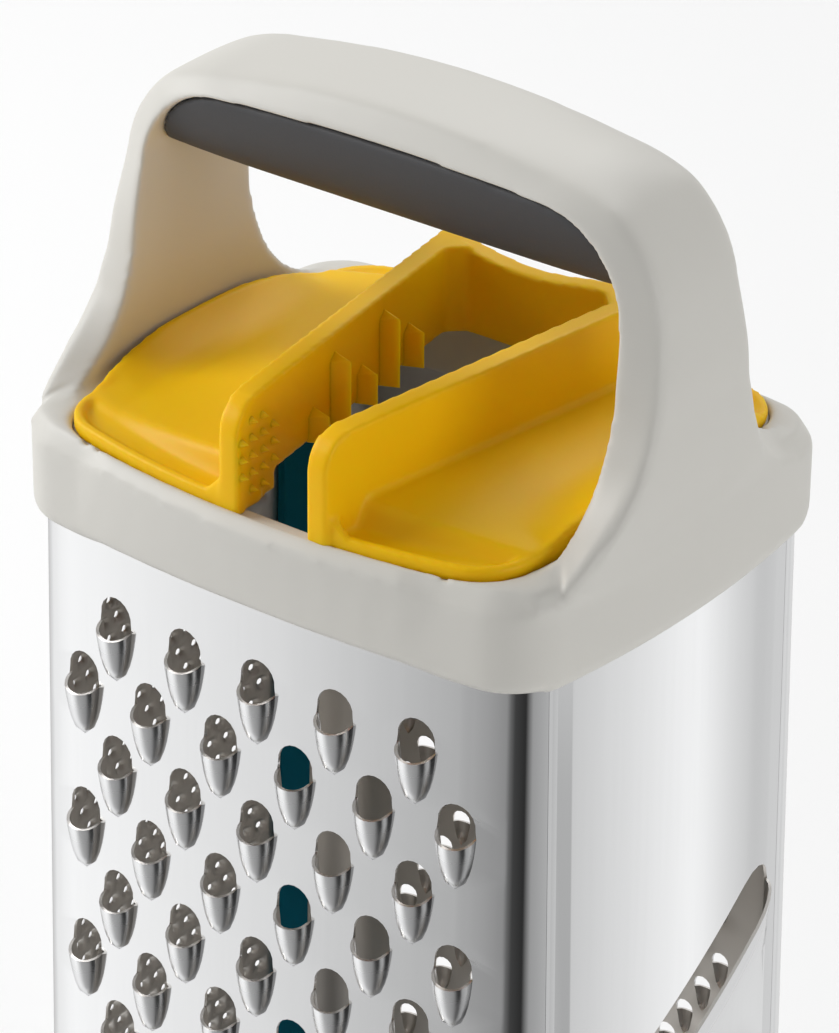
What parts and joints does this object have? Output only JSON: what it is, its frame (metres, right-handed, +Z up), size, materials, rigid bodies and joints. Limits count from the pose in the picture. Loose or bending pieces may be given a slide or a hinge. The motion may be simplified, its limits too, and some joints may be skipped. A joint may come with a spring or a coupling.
{
  "type": "box grater",
  "caption": "Four-sided box grater with an arched handle, a soft grip and a nested finger guard that lifts up under the grip.",
  "frame": {"origin": "on the table under the middle of the body, at the bottom of the foot ring", "axes": "+Z up, the coarse face looks to -Y, the slicing face to +X, the medium face to +Y and the fine face to -X"},
  "size_m": [0.1146, 0.0944, 0.2532],
  "materials": {
    "steel": "polished",
    "frame": "fine texture",
    "soft_grip": "soft matt",
    "core": "plain",
    "screws": "plain",
    "guard": "satin",
    "strip": "plain",
    "foot": "soft matt"
  },
  "bodies": {
    "grater": {"body_sheet": "steel", "seam_strip": "strip", "base_ring": "frame", "foot_ring": "foot", "handle_frame": "frame", "inner_collar": "frame", "grip_core": "core", "grip_cover": "soft_grip", "grip_screws": "screws"},
    "guard": {"finger_guard": "guard"}
  },
  "joints": [
    {"name": "guard_lift", "type": "slide", "parent": "grater", "child": "guard", "axis": [0, 0, 1], "range_m": [0, 0.014]}
  ]
}
